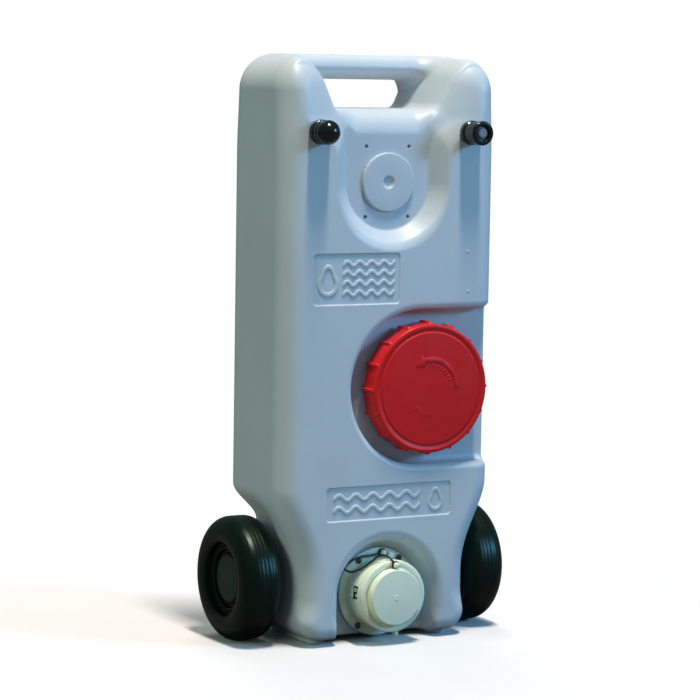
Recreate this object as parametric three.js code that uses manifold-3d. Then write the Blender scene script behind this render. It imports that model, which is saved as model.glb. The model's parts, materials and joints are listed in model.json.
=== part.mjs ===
// Roll-along waste water tank: a blow-moulded tank on two wheels, with a wide screw cap, a bayonet
// drain outlet, and a vent and a hose inlet near the handle. Millimetres, +Z up. The front faces -Y.
// The design frame has y = 0 at the tank's mid-depth; the exported group moves it so that the
// origin is on the floor, under the middle of the whole object's box.
import * as THREE from "three";
import { mergeVertices } from "three/addons/utils/BufferGeometryUtils.js";
import Module from "manifold-3d";

const wasm = await Module();
wasm.setup();

// ---------------------------------------------------------------- driving dimensions

const TANK = {
  halfWidth: 150,
  halfDepth: 76,
  height: 720,
  underside: 7,
  wall: 4,
  cornerRadius: 30, // vertical corners, seen from above
  topRadius: 50, // top corners, seen from the front
  topEdgeRadius: 36, // top front and back edges
  bottomRadius: 28,
  bottomEdgeRadius: 16,
};
// The flanks draw in towards the wheels: gently at the front, in a short shoulder at the back.
const WAIST = {
  halfWidth: 117,
  frontBottom: 77,
  frontTop: 195,
  frontBias: 1.25,
  backBottom: 142,
  backTop: 190,
  blendFrom: -40,
  blendTo: 20,
};
const FOOT = { x: 85, halfWidth: 12, halfStraight: 44, root: 10 };
const HANDLE = {
  shelf: 655, // top of the tank under the hand opening
  lipRadius: 32,
  backRadius: 28,
  flare: 0.458, // sideways run of the opening's walls per unit of height
  barHalfDepth: 20,
  barY: 30,
  barHeight: 30,
};
const SHIELD = {
  z: 566,
  floorRadius: 58,
  wallRun: 19,
  depth: 19,
  discRadius: 35.6,
  discHeight: 4,
  dimple: 5.5,
};
const LABELS = [
  { left: -110.8, right: 9.9, bottom: 418.4, top: 481 },
  { left: -88.1, right: 88.1, bottom: 154, top: 196.7 },
];
const FILL_RECESS = { x: 44, z: 318, radius: 100, floorY: -50, wallRun: 8, wallDepth: 12 };
const CAP = {
  x: 51,
  z: 313.5,
  skirtRadius: 79.4,
  boreRadius: 75.6,
  openY: -56,
  frontY: -85,
  discRadius: 69.5,
  grooveY: -84,
  ribs: 16,
  ribRadius: 2.7,
  ribReach: 80,
};
const NECK = { radius: 71.4, bore: 62, rimY: -75 };
const THREAD = { pitch: 6, turns: 1.5, width: 2.2, height: 2.6, startY: -58 };
const ARCH = { z: 59.5, floorRadius: 60, crestRadius: 77.5, floorY: -46 };
const FLANGE = { radius: 54.8, thickness: 4, gasket: 1.4, screwCircle: 49.5, screwAngle: 35 };
const SPOUT = {
  radius: 40,
  bore: 33,
  sleeve: 36, // the part behind the flange
  endY: -84,
  lugRadius: 44,
  lugWidth: 20,
  lugY: -66,
};
const DRAIN_CAP = {
  skirtRadius: 45,
  boreRadius: 41,
  openY: -57,
  grooveY: -79,
  ringRadius: 44,
  ringY: -90,
  discRadius: 34.2,
  discY: -96,
  turn: 60, // degrees from locked to free
};
const FITTING = { x: 105, z: 627, radius: 15, tubeRadius: 9 };
const VENT = { tipY: -112 };
const INLET = { endY: -108, plugRadius: 6, mouthRadius: 9.4 };
const AXLE = { y: 18, z: 77, radius: 6, halfLength: 170 };
const WHEEL = { radius: 76.8, width: 55, round: 19.8, inner: 130 };
const BUSH = { radius: 8.2, bore: 6.12 };
const GAP = 0.3; // between pieces that rest on each other

const FRONT = -TANK.halfDepth;
const BOX_MIDDLE_Y = (VENT.tipY + AXLE.y + WHEEL.radius) / 2;

// ---------------------------------------------------------------- materials

const finish = (color, roughness, metalness = 0) =>
  new THREE.MeshStandardMaterial({ color, roughness, metalness });
const MATERIALS = {
  tank: finish(0x91a9ba, 0.5),
  redCap: finish(0xa01c22, 0.4),
  outlet: finish(0x9fb2a8, 0.5),
  black: finish(0x15181a, 0.25),
  wheel: finish(0x0d1012, 0.32),
  hub: finish(0x2c3332, 0.45),
  rubber: finish(0x1b1b1b, 0.8),
  cord: finish(0x101214, 0.6),
  ivory: finish(0xd8dccb, 0.45),
  grey: finish(0x6f8086, 0.5),
  steel: finish(0xb4b7ba, 0.3, 1),
  bush: finish(0xd9d7cf, 0.5),
};

// ---------------------------------------------------------------- solids

// A closed three.js geometry as a solid that can be joined and cut.
function solid(geometry) {
  const bare = geometry.clone();
  bare.deleteAttribute("normal");
  bare.deleteAttribute("uv");
  const merged = mergeVertices(bare, 1e-4);
  const index = merged.index.array;
  const corners = [];
  for (let i = 0; i < index.length; i += 3) {
    const [a, b, c] = [index[i], index[i + 1], index[i + 2]];
    if (a !== b && b !== c && a !== c) corners.push(a, b, c);
  }
  return new wasm.Manifold(
    new wasm.Mesh({
      numProp: 3,
      vertProperties: new Float32Array(merged.attributes.position.array),
      triVerts: new Uint32Array(corners),
    }),
  );
}

function geometryOf(body) {
  const mesh = body.getMesh();
  return new THREE.BufferGeometry()
    .setAttribute("position", new THREE.BufferAttribute(new Float32Array(mesh.vertProperties), 3))
    .setIndex(new THREE.BufferAttribute(new Uint32Array(mesh.triVerts), 1));
}

const join = (...bodies) => bodies.reduce((all, next) => all.add(next));
const cut = (body, ...tools) => tools.reduce((rest, tool) => rest.subtract(tool), body);

// A surface turned about +Y, with the closed profile given as [radius, height] pairs going
// counter-clockwise: up on the outside, down on the inside.
function turned(profile, segments = 32) {
  const points = profile.map(([radius, height]) => new THREE.Vector2(radius, height));
  if (profile[0][0] > 0) points.push(points[0].clone());
  return new THREE.LatheGeometry(points, segments);
}

// The same, with its axis along -Y (out of the front face): heights become distances in front
// of y = 0, so a profile is given in -y.
const turnedToFront = (profile, x, z, segments) =>
  solid(turned(profile, segments).rotateX(Math.PI).translate(x, 0, z));

// A ring between two radii, from y = back to y = front.
const ringToFront = (inner, outer, back, front, x, z, segments) =>
  turnedToFront([[inner, -back], [outer, -back], [outer, -front], [inner, -front]], x, z, segments);

const discToFront = (radius, back, front, x, z, segments) =>
  turnedToFront([[0, -back], [radius, -back], [radius, -front], [0, -front]], x, z, segments);

// Points on an arc of centre (a, b), in degrees from the first axis.
function arc(a, b, radius, from, to, steps) {
  return Array.from({ length: steps + 1 }, (_, i) => {
    const angle = THREE.MathUtils.degToRad(from + ((to - from) * i) / steps);
    return [a + radius * Math.cos(angle), b + radius * Math.sin(angle)];
  });
}

const shapeOf = (points) => new THREE.Shape(points.map(([a, b]) => new THREE.Vector2(a, b)));

function extruded(points, depth) {
  return new THREE.ExtrudeGeometry(shapeOf(points), { depth, bevelEnabled: false, steps: 1 });
}

// An outline in the front view (x, z), filled from y = front to y = back.
const prismY = (points, front, back) =>
  solid(extruded(points, back - front).rotateX(Math.PI / 2).translate(0, back, 0));

// An outline in the side view (y, z), filled from x = -reach to x = reach.
const prismX = (points, reach) =>
  solid(
    extruded(points, 2 * reach)
      .rotateX(Math.PI / 2)
      .rotateZ(Math.PI / 2)
      .translate(-reach, 0, 0),
  );

// An outline in the front view that widens from the floor of a recess to the front face and past
// it, with a rounded wall between them.
function recess(points, floorY, wallRun, wallDepth) {
  const geometry = new THREE.ExtrudeGeometry(shapeOf(points), {
    depth: 2 * TANK.halfDepth,
    bevelThickness: wallDepth,
    bevelSize: wallRun,
    bevelSegments: 3,
    steps: 1,
  });
  // The bevelled start becomes the floor, and the extrusion runs out through the front face.
  return solid(geometry.translate(0, 0, wallDepth).rotateX(Math.PI / 2).translate(0, floorY, 0));
}

// Equal rings of [x, y, z] points, stacked upwards and closed with a fan at each end.
function loft(rings) {
  const count = rings[0].length;
  const corners = [];
  for (let level = 0; level + 1 < rings.length; level++) {
    for (let i = 0; i < count; i++) {
      const next = (i + 1) % count;
      const [a, b] = [level * count + i, level * count + next];
      corners.push(a, b, b + count, a, b + count, a + count);
    }
  }
  const middle = (ring) => [0, 0, ring[0][2]];
  const bottom = rings.length * count;
  const last = (rings.length - 1) * count;
  for (let i = 0; i < count; i++) {
    const next = (i + 1) % count;
    corners.push(bottom, next, i);
    corners.push(bottom + 1, last + i, last + next);
  }
  const points = [...rings.flat(), middle(rings[0]), middle(rings.at(-1))];
  return new THREE.BufferGeometry()
    .setAttribute("position", new THREE.Float32BufferAttribute(points.flat(), 3))
    .setIndex(corners);
}

// ---------------------------------------------------------------- tank body

const smooth = (value, from, to) => THREE.MathUtils.smoothstep(value, from, to);

// Half the tank's width at a height, before the top and bottom corners are rounded.
function flank(y, z) {
  const { halfWidth, frontBottom, frontTop, frontBias, backBottom, backTop } = WAIST;
  const share = THREE.MathUtils.clamp((z - frontBottom) / (frontTop - frontBottom), 0, 1);
  const front = smooth(share ** frontBias, 0, 1);
  const back = smooth(z, backBottom, backTop);
  const rise = THREE.MathUtils.lerp(front, back, smooth(y, WAIST.blendFrom, WAIST.blendTo));
  return THREE.MathUtils.lerp(halfWidth, TANK.halfWidth, rise);
}

// How far an edge rounded with this radius has drawn in, at a height above or below its start.
function drawnIn(past, radius) {
  const run = THREE.MathUtils.clamp(past, 0, radius);
  return radius - Math.sqrt(radius * radius - run * run);
}

// One level of the tank, drawn in all round by `inset`.
function tankRing(z, inset, cornerSteps) {
  const { halfDepth, cornerRadius, topRadius, topEdgeRadius, bottomRadius, bottomEdgeRadius } = TANK;
  const { height, underside } = TANK;
  const side =
    inset +
    drawnIn(z - (height - topRadius), topRadius - inset) +
    drawnIn(underside + bottomRadius - z, bottomRadius - inset);
  const depth =
    halfDepth -
    inset -
    drawnIn(z - (height - topEdgeRadius), topEdgeRadius - inset) -
    drawnIn(underside + bottomEdgeRadius - z, bottomEdgeRadius - inset);
  const radius = Math.min(cornerRadius - inset, depth - 1);
  const straight = depth - radius;
  const flankPoints = [-0.5, 0, 0.5].map((share) => [TANK.halfWidth, share * straight]);
  const corner = arc(TANK.halfWidth - radius, straight, radius, 0, 90, cornerSteps);
  const right = [...corner.map(([x, y]) => [x, -y]).reverse(), ...flankPoints, ...corner];
  const left = right.map(([x, y]) => [-x, -y]);
  return [...right, ...left].map(([x, y]) => {
    const scale = (flank(y, z) - side) / TANK.halfWidth;
    return [x * scale, y, z];
  });
}

// Levels follow the rounding of the top and bottom; `steps` are shares of that rounding's height.
function tankShell(inset, steps, waist, cornerSteps) {
  const { height, underside, topRadius, bottomRadius } = TANK;
  const bottomRun = bottomRadius - inset;
  const topRun = topRadius - inset;
  const bottom = steps.map((share) => underside + bottomRadius - bottomRun * share);
  const top = steps.toReversed().map((share) => height - topRadius + topRun * share);
  return solid(loft([...bottom, ...waist, ...top].map((z) => tankRing(z, inset, cornerSteps))));
}

const outerShell = () =>
  tankShell(0, [1, 0.9, 0.72, 0.5, 0.25, 0], [77, 95, 110, 125, 138, 148, 156, 164, 172, 180, 195], 5);

const innerShell = () => tankShell(TANK.wall, [1, 0.8, 0.4, 0], [77, 110, 138, 156, 172, 195], 3);

// The sunken field on the front: a half-round bottom, and above it the hand opening, whose walls
// flare up to the top of the tank. `grow` widens it all round.
function shieldOutline(grow) {
  const { z, floorRadius } = SHIELD;
  const start = HANDLE.shelf - HANDLE.lipRadius;
  const top = TANK.height + 40;
  const reach = floorRadius + grow;
  const flared = reach + (top - start) * HANDLE.flare;
  const bottom = arc(0, z, reach, 180, 360, 16);
  return [...bottom, [reach, start], [flared, top], [-flared, top], [-reach, start]];
}

// What the hand opening and the field leave standing behind them: the field's floor, the rounded
// lip above it and the shelf.
function shelfProfile(grow) {
  const { shelf, lipRadius, backRadius } = HANDLE;
  const floor = FRONT + SHIELD.depth + grow;
  const top = shelf - grow;
  const back = TANK.halfDepth - grow;
  return [
    [floor, 0],
    [back, 0],
    ...arc(back - backRadius, top - backRadius, backRadius, 0, 90, 5),
    ...arc(floor + lipRadius, top - lipRadius, lipRadius, 90, 180, 5),
  ];
}

function handOpening(grow) {
  const reach = TANK.halfDepth + 10;
  const opening = prismY(shieldOutline(grow), -reach, reach);
  return opening.subtract(prismX(shelfProfile(grow), TANK.halfWidth));
}

function handleBar(inset) {
  const { barHalfDepth, barY, barHeight } = HANDLE;
  const half = barHeight / 2 - inset;
  const z = TANK.height - barHeight / 2;
  const run = barHalfDepth - barHeight / 2;
  const profile = [
    ...arc(barY + run, z, half, -90, 90, 6),
    ...arc(barY - run, z, half, 90, 270, 6),
  ];
  return prismX(profile, 108);
}

// The field's wall is rounded and leans out; above the field it fades into the hand opening.
function shieldWall(grow) {
  const { z, floorRadius, wallRun, depth } = SHIELD;
  const reach = floorRadius + grow;
  const outline = [...arc(0, z, reach, 180, 360, 16), [reach, z + 52], [-reach, z + 52]];
  return recess(outline, FRONT + depth + grow, wallRun, depth);
}

// The side of the fill recess runs out through the right flank.
function fillRecess(grow) {
  const { x, z, radius, floorY, wallRun, wallDepth } = FILL_RECESS;
  const reach = radius - wallRun + grow;
  const side = TANK.halfWidth + 20;
  const outline = [...arc(x, z, reach, 90, 270, 16), [side, z - reach], [side, z + reach]];
  return recess(outline, floorY + grow, wallRun, wallDepth);
}

// The arch round the outlet is open at the bottom.
function outletArch(grow) {
  const { z, floorRadius, crestRadius, floorY } = ARCH;
  const reach = floorRadius + grow;
  const outline = [...arc(0, z, reach, 0, 180, 18), [-reach, -40], [reach, -40]];
  return recess(outline, floorY + grow, crestRadius - floorRadius, floorY - FRONT);
}

// A shallow field with rounded corners, cut into the front face.
function labelField({ left, right, bottom, top }) {
  const radius = 5;
  const depth = 1.6;
  const outline = [
    ...arc(right - radius, top - radius, radius, 0, 90, 3),
    ...arc(left + radius, top - radius, radius, 90, 180, 3),
    ...arc(left + radius, bottom + radius, radius, 180, 270, 3),
    ...arc(right - radius, bottom + radius, radius, 270, 360, 3),
  ];
  return prismY(outline, FRONT - 5, FRONT + depth);
}

// A runner moulded under one side of the tank, with round ends.
function foot(side) {
  const { x, halfWidth, halfStraight } = FOOT;
  const front = arc(side * x, -halfStraight, halfWidth, 180, 360, 6);
  const back = arc(side * x, halfStraight, halfWidth, 0, 180, 6);
  return solid(extruded([...front, ...back], TANK.underside + FOOT.root));
}

// A helical rib between two radii that climbs out of the front: a right-hand thread.
function threadRib(inner, outer, startY, x, z) {
  const stepsPerTurn = 24;
  const steps = Math.round(THREAD.turns * stepsPerTurn);
  const half = THREAD.width / 2;
  const rings = [];
  for (let i = 0; i <= steps; i++) {
    const angle = (i / stepsPerTurn) * 2 * Math.PI;
    const y = startY - (i / stepsPerTurn) * THREAD.pitch;
    const corners = [
      [inner, y + half],
      [inner, y - half],
      [outer, y - half * 0.6],
      [outer, y + half * 0.6],
    ];
    rings.push(corners.map(([r, at]) => [x + r * Math.cos(angle), at, z + r * Math.sin(angle)]));
  }
  return helixSolid(rings);
}

// Four-cornered rings joined in a row and closed at both ends.
function helixSolid(rings) {
  const corners = [];
  const count = rings[0].length;
  for (let level = 0; level + 1 < rings.length; level++) {
    for (let i = 0; i < count; i++) {
      const next = (i + 1) % count;
      const [a, b] = [level * count + i, level * count + next];
      corners.push(a, b, b + count, a, b + count, a + count);
    }
  }
  const last = (rings.length - 1) * count;
  corners.push(0, 2, 1, 0, 3, 2, last, last + 1, last + 2, last, last + 2, last + 3);
  const geometry = new THREE.BufferGeometry()
    .setAttribute("position", new THREE.Float32BufferAttribute(rings.flat(2), 3))
    .setIndex(corners);
  const body = solid(geometry);
  if (body.volume() > 0) return body;
  geometry.setIndex(corners.toReversed());
  return solid(geometry);
}

// A hole through both flanks, round the axle's line.
function alongAxle(radius) {
  const rod = new THREE.CylinderGeometry(radius, radius, 3 * TANK.halfWidth, 24);
  return solid(rod.rotateZ(Math.PI / 2).translate(0, AXLE.y, AXLE.z));
}

function tankBody() {
  const { x, z } = CAP;
  const shieldFloor = FRONT + SHIELD.depth;
  const neckThread = threadRib(NECK.radius - 1, NECK.radius + THREAD.height, THREAD.startY, x, z);
  const outside = join(
    cut(outerShell(), handOpening(0), shieldWall(0), fillRecess(0), outletArch(0)),
    handleBar(0),
    discToFront(SHIELD.discRadius, shieldFloor + 1, shieldFloor - SHIELD.discHeight, 0, SHIELD.z),
    discToFront(NECK.radius, FILL_RECESS.floorY + 1, NECK.rimY, x, z),
    neckThread,
    foot(-1),
    foot(1),
  );
  const axleHole = AXLE.radius + 0.5;
  const cavity = join(
    cut(
      innerShell(),
      handOpening(TANK.wall),
      shieldWall(TANK.wall),
      fillRecess(TANK.wall),
      outletArch(TANK.wall),
      alongAxle(axleHole + TANK.wall),
    ),
    handleBar(TANK.wall),
  );
  const port = (side) =>
    discToFront(FITTING.tubeRadius + 0.4, FRONT + 12, FRONT - 5, side * FITTING.x, FITTING.z, 24);
  const screwHole = ([sx, sz]) => discToFront(2.1, ARCH.floorY + 8, ARCH.floorY - 3, sx, sz, 8);
  return cut(
    outside,
    cavity,
    alongAxle(axleHole),
    discToFront(NECK.bore, FRONT + 60, NECK.rimY - 5, x, z),
    discToFront(SPOUT.sleeve + 0.5, ARCH.floorY + 12, ARCH.floorY - 5, 0, ARCH.z),
    discToFront(SHIELD.dimple, shieldFloor + 1, FRONT, 0, SHIELD.z, 16),
    port(-1),
    port(1),
    ...LABELS.map(labelField),
    ...screwPlaces().map(screwHole),
  );
}

// ---------------------------------------------------------------- screw cap

function capArrow() {
  const turn = (radius, degrees) => {
    const angle = THREE.MathUtils.degToRad(degrees);
    return [CAP.x + radius * Math.cos(angle), CAP.z + radius * Math.sin(angle)];
  };
  const outline = [
    ...arc(CAP.x, CAP.z, 38, 5, 105, 10),
    turn(41, 105),
    turn(36, 122),
    turn(31, 105),
    ...arc(CAP.x, CAP.z, 34, 105, 5, 10),
  ];
  return prismY(outline, CAP.frontY - 0.8, CAP.frontY + 1);
}

function screwCap() {
  const { x, z, skirtRadius, boreRadius, openY, frontY, discRadius, grooveY } = CAP;
  const { ribs, ribReach, ribRadius } = CAP;
  const ceiling = NECK.rimY - 3.6;
  const profile = [
    [0, -ceiling],
    [boreRadius, -ceiling],
    [boreRadius, -openY],
    [skirtRadius, -openY],
    [skirtRadius, -frontY - 3],
    ...arc(skirtRadius - 3, -frontY - 3, 3, 15, 90, 4),
    [discRadius + 1.5, -grooveY],
    [discRadius, -frontY],
    [0, -frontY],
  ];
  const rib = (i) => {
    const angle = (i / ribs) * 2 * Math.PI;
    const [rx, rz] = [x + ribReach * Math.cos(angle), z + ribReach * Math.sin(angle)];
    const bar = [
      [0, -openY],
      [ribRadius, -openY],
      [ribRadius, -frontY - 4],
      [0, -frontY - 2],
    ];
    return turnedToFront(bar, rx, rz, 8);
  };
  return join(
    turnedToFront(profile, x, z, 48),
    ...Array.from({ length: ribs }, (_, i) => rib(i)),
    threadRib(NECK.radius + 1.1, boreRadius + 0.6, THREAD.startY - THREAD.pitch / 2, x, z),
    capArrow(),
  );
}

function capGasket() {
  const back = NECK.rimY - GAP;
  return ringToFront(NECK.bore + 0.5, NECK.radius + 1, back, back - 3, CAP.x, CAP.z, 32);
}

// ---------------------------------------------------------------- drain outlet

const FLANGE_BACK = ARCH.floorY - FLANGE.gasket - 2 * 0.1;
const FLANGE_FRONT = FLANGE_BACK - FLANGE.thickness;

function screwPlaces() {
  return [1, -1].flatMap((up) =>
    [-1, 1].map((side) => {
      const angle = THREE.MathUtils.degToRad(FLANGE.screwAngle);
      const x = side * FLANGE.screwCircle * Math.sin(angle);
      const z = ARCH.z + up * FLANGE.screwCircle * Math.cos(angle);
      return [x, z];
    }),
  );
}

function flangeGasket() {
  const holes = screwPlaces().map(([x, z]) => discToFront(2.4, -30, -60, x, z, 12));
  const back = ARCH.floorY - 0.1;
  return cut(ringToFront(37, FLANGE.radius, back, back - FLANGE.gasket, 0, ARCH.z), ...holes);
}

// A sector of a ring round the outlet, between two angles in degrees.
function sector(inner, outer, from, to, back, front, steps = 4) {
  const outside = arc(0, ARCH.z, outer, from, to, steps);
  const inside = arc(0, ARCH.z, inner, to, from, steps);
  return prismY([...outside, ...inside], front, back);
}

const LUG_ANGLES = [60, 180, 300];

function outletFlange() {
  const { radius, bore, sleeve, endY, lugRadius, lugWidth, lugY } = SPOUT;
  const lug = (at) =>
    sector(radius - 1, lugRadius, at - lugWidth / 2, at + lugWidth / 2, lugY + 2, lugY - 2);
  const body = join(
    discToFront(FLANGE.radius, FLANGE_BACK, FLANGE_FRONT, 0, ARCH.z, 36),
    discToFront(sleeve, ARCH.floorY + 10, FLANGE_BACK - 1, 0, ARCH.z, 36),
    discToFront(radius, FLANGE_FRONT + 1, endY, 0, ARCH.z, 36),
    ...LUG_ANGLES.map(lug),
  );
  const holes = screwPlaces().map(([x, z]) => discToFront(2.3, -30, -60, x, z, 12));
  const pinHole = discToFront(1.7, -30, -60, ...FLANGE_PIN, 12);
  return cut(body, discToFront(bore, -20, -100, 0, ARCH.z, 36), pinHole, ...holes);
}

// A pan-head screw: its shank runs through the flange and gasket into the tank's wall.
function flangeScrew([x, z]) {
  const head = FLANGE_FRONT - 0.1;
  const profile = [
    [0, -(ARCH.floorY + 3.4)],
    [1.9, -(ARCH.floorY + 3.4)],
    [1.9, -head],
    [4.1, -head],
    [4.1, -head + 1.4],
    [2.6, -head + 2.6],
    [0, -head + 2.6],
  ];
  const screw = turnedToFront(profile, x, z, 12);
  const slot = (a, b) => {
    const outline = [[x - a, z - b], [x + a, z - b], [x + a, z + b], [x - a, z + b]];
    return prismY(outline, head - 5, head - 1.4);
  };
  return cut(screw, slot(2.1, 0.5), slot(0.5, 2.1));
}

const FLANGE_PIN = [4, ARCH.z + 49];
const CAP_PIN = [1, ARCH.z + 39.4];

function drainCap() {
  const { skirtRadius, boreRadius, openY, grooveY, ringRadius, ringY, discRadius, discY } = DRAIN_CAP;
  const ceiling = SPOUT.endY - 3;
  const profile = [
    [0, -ceiling],
    [boreRadius, -ceiling],
    [boreRadius, -openY],
    [skirtRadius, -openY],
    [skirtRadius, -grooveY - 1],
    [skirtRadius - 1.2, -grooveY],
    [ringRadius, -grooveY + 1],
    ...arc(ringRadius - 3, -ringY - 3, 3, 0, 90, 3),
    [discRadius, -ringY],
    ...arc(discRadius - 1.5, -discY - 1.5, 1.5, 0, 90, 2),
    [0, -discY],
  ];
  const { lugY, lugWidth } = SPOUT;
  const half = lugWidth / 2 + 1.5;
  const slot = (from, to, back, front, steps) =>
    sector(boreRadius - 2, skirtRadius + 2, from - half, to + half, back, front, steps);
  // Each lug's slot runs round the skirt, and opens to the rear at its free end.
  const slots = LUG_ANGLES.flatMap((at) => {
    const free = at - DRAIN_CAP.turn;
    return [slot(free, at, lugY + 2.8, lugY - 2.8, 10), slot(free, free, openY + 5, lugY, 4)];
  });
  const tab = prismY([[3, 18], [9.5, 18], [8, 8.5], [6.2, 8.5]], -88, -80);
  const mark = ringToFront(1.6, 2.6, discY + 1, discY - 0.4, 0, ARCH.z, 16);
  return cut(
    join(turnedToFront(profile, 0, ARCH.z, 36), tab, mark),
    discToFront(1.7, ringY + 2.6, ringY - 5, ...CAP_PIN, 12),
    ...slots,
  );
}

function drainSeal() {
  const { bore, radius, endY } = SPOUT;
  return ringToFront(bore + 0.5, radius + 0.5, endY - GAP, endY - 2.7, 0, ARCH.z);
}

// A ball-headed pin that holds one end of the tether, with its foot in a blind hole.
function tetherPin([x, z], footY, faceY) {
  const profile = [
    [0, -footY],
    [1.4, -footY],
    [1.4, -faceY + 3],
    ...arc(0, -faceY + 5, 3.2, -50, 90, 5).slice(0, -1),
    [0, -faceY + 8.2],
  ];
  return turnedToFront(profile, x, z, 10);
}

// The cord: from the flange's pin out to the left in a loop, and back to the cap's pin.
const CORD_PATH = [
  [FLANGE_PIN[0] - 2.8, FLANGE_FRONT - 1.8, FLANGE_PIN[1] - 0.6],
  [-8, -55.5, 105],
  [-28, -57.5, 107],
  [-45, -59.5, 101],
  [-53, -61, 93],
  [-47, -63, 87.5],
  [-33, -66, 92],
  [-18, -70, 105.5],
  [-9, -77, 110.5],
  [-4, -86, 108],
  [CAP_PIN[0] - 2.4, DRAIN_CAP.ringY - 1.8, CAP_PIN[1] + 2],
];

function tetherCord() {
  const path = new THREE.CatmullRomCurve3(CORD_PATH.map((point) => new THREE.Vector3(...point)));
  const section = shapeOf(arc(0, 0, 1, 0, 360, 5).slice(1));
  const sweep = { steps: 44, bevelEnabled: false, extrudePath: path };
  return solid(new THREE.ExtrudeGeometry(section, sweep));
}

// ---------------------------------------------------------------- vent and inlet

const FITTING_BACK = FRONT - 1.8;

function fittingGasket(side) {
  const { x, z, radius, tubeRadius } = FITTING;
  return ringToFront(tubeRadius + 0.3, radius - 0.5, FRONT - 0.1, FITTING_BACK + 0.1, side * x, z, 20);
}

function lockNut(side) {
  const back = FRONT + TANK.wall + 0.3;
  const [x, z] = [side * FITTING.x, FITTING.z];
  const nut = discToFront(13.5, back + 6, back, x, z, 6);
  return cut(nut, discToFront(FITTING.tubeRadius + 0.3, back + 10, back - 5, x, z, 24));
}

// A tube with a collar that clamps on the tank's front face.
function fitting(side, tubeFront, outer) {
  const [x, z] = [side * FITTING.x, FITTING.z];
  const tubeBack = FRONT + TANK.wall + 9;
  const profile = [
    [5.5, -tubeBack],
    [FITTING.tubeRadius, -tubeBack],
    [FITTING.tubeRadius, -FITTING_BACK],
    [FITTING.radius, -FITTING_BACK],
    [FITTING.radius, -FITTING_BACK + 6],
    [FITTING.radius - 1.5, -FITTING_BACK + 7.5],
    [outer, -FITTING_BACK + 7.5],
    [outer, -tubeFront],
    [5.5, -tubeFront],
  ];
  return turnedToFront(profile, x, z, 20);
}

function ventCap() {
  const { radius } = FITTING;
  const back = FITTING_BACK - 8.2;
  const domeY = VENT.tipY + radius;
  const profile = [
    [0, -(domeY - 1)],
    [11.6, -(domeY - 1)],
    [11.6, -back],
    [radius - 1, -back],
    [radius, -back + 1],
    [radius - 0.6, -domeY - 4],
    ...arc(0, -domeY, radius, 0, 90, 8).slice(0, -1),
    [0, -VENT.tipY],
  ];
  return turnedToFront(profile, -FITTING.x, FITTING.z, 20);
}

const VENT_SEAT = VENT.tipY + FITTING.radius + 1.8;

function ventSeal() {
  return ringToFront(5.8, 11, VENT_SEAT - GAP, VENT_SEAT - 2.5, -FITTING.x, FITTING.z, 20);
}

function inletRing() {
  const { endY, mouthRadius } = INLET;
  const back = FITTING_BACK - 8.2;
  const profile = [
    [12, -back],
    [13.8, -back],
    [14, -endY - 9],
    [14.9, -endY - 8],
    [14.9, -endY - 2],
    [13.4, -endY],
    [mouthRadius + 1, -endY],
    [mouthRadius, -endY - 1],
    [mouthRadius, -endY - 5],
    [12, -endY - 5],
  ];
  return turnedToFront(profile, FITTING.x, FITTING.z, 20);
}

function inletPlug() {
  const { endY, plugRadius } = INLET;
  const seat = endY + 8.5;
  const profile = [
    [0, -seat],
    [11.3, -seat],
    [11.3, -endY - 5.6],
    [8, -endY - 5.6],
    [8, -endY - 4],
    [plugRadius, -endY - 4],
    [plugRadius, -endY - 2],
    [plugRadius - 1, -endY - 1],
    [0, -endY - 1],
  ];
  return turnedToFront(profile, FITTING.x, FITTING.z, 20);
}

// ---------------------------------------------------------------- wheels

// Wheel pieces are turned about +X with heights measured out from the wheel's inner face, and
// mirrored by a half turn for the left side.
function onAxle(profile, side, segments = 24) {
  const geometry = turned(profile.map(([radius, height]) => [radius, height + WHEEL.inner]), segments);
  return solid(geometry.rotateZ((-side * Math.PI) / 2).translate(0, AXLE.y, AXLE.z));
}

function wheel(side) {
  const { radius, width, round } = WHEEL;
  const crown = radius - round;
  const profile = [
    [BUSH.radius + 0.05, 2],
    [17, 0],
    [20, 12],
    [44, 16],
    [50, 3],
    [crown, 0],
    ...arc(crown, round, round, -70, 0, 4),
    ...arc(crown, width - round, round, 0, 90, 5),
    [52, width - 0.8],
    [47.5, width - 4],
    [45, width - 12],
    [41, width - 12],
    [40, width - 9],
    [37, width - 9],
    [35, width - 17],
    [29.5, width - 17],
    [28.2, width - 14.6],
    [25.5, width - 14.6],
    [24, width - 24],
    [BUSH.radius + 0.05, width - 24],
  ];
  return onAxle(profile, side, 32);
}

function bush(side) {
  return onAxle([[BUSH.bore, 1], [BUSH.radius, 1], [BUSH.radius, 31.5], [BUSH.bore, 31.5]], side);
}

function spacer(side) {
  return onAxle([[6.4, -12.4], [12, -12.4], [11, -0.4], [6.4, -0.4]], side, 24);
}

function outerWasher(side) {
  return onAxle([[6.3, 31.9], [13, 31.9], [13, 33.4], [6.3, 33.4]], side, 24);
}

function retainer(side) {
  return onAxle([[6.15, 33.7], [9.5, 33.7], [9.5, 35], [7.6, 36.4], [6.15, 36.4]], side, 24);
}

function hubCap(side) {
  const face = WHEEL.width - 14.6 + 0.2;
  const profile = [
    [0, face],
    [21.5, face],
    [21.5, face - 6],
    [23.6, face - 6],
    [23.6, face],
    [27.4, face],
    [27.4, face + 1.4],
    [25.5, face + 2.6],
    [15, face + 3.6],
    [0, face + 4],
  ];
  return onAxle(profile, side, 24);
}

function axle() {
  const { radius, halfLength, y, z } = AXLE;
  return solid(
    new THREE.CylinderGeometry(radius, radius, 2 * halfLength, 32).rotateZ(Math.PI / 2).translate(0, y, z),
  );
}

// ---------------------------------------------------------------- assembly

const tank = new THREE.Group();
tank.position.set(0, -BOX_MIDDLE_Y, 0);

function place(name, body, material, parent = tank) {
  const mesh = new THREE.Mesh(geometryOf(body), material);
  mesh.name = name;
  parent.add(mesh);
}

function addGroup() {
  const group = new THREE.Group();
  tank.add(group);
  return group;
}

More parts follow.
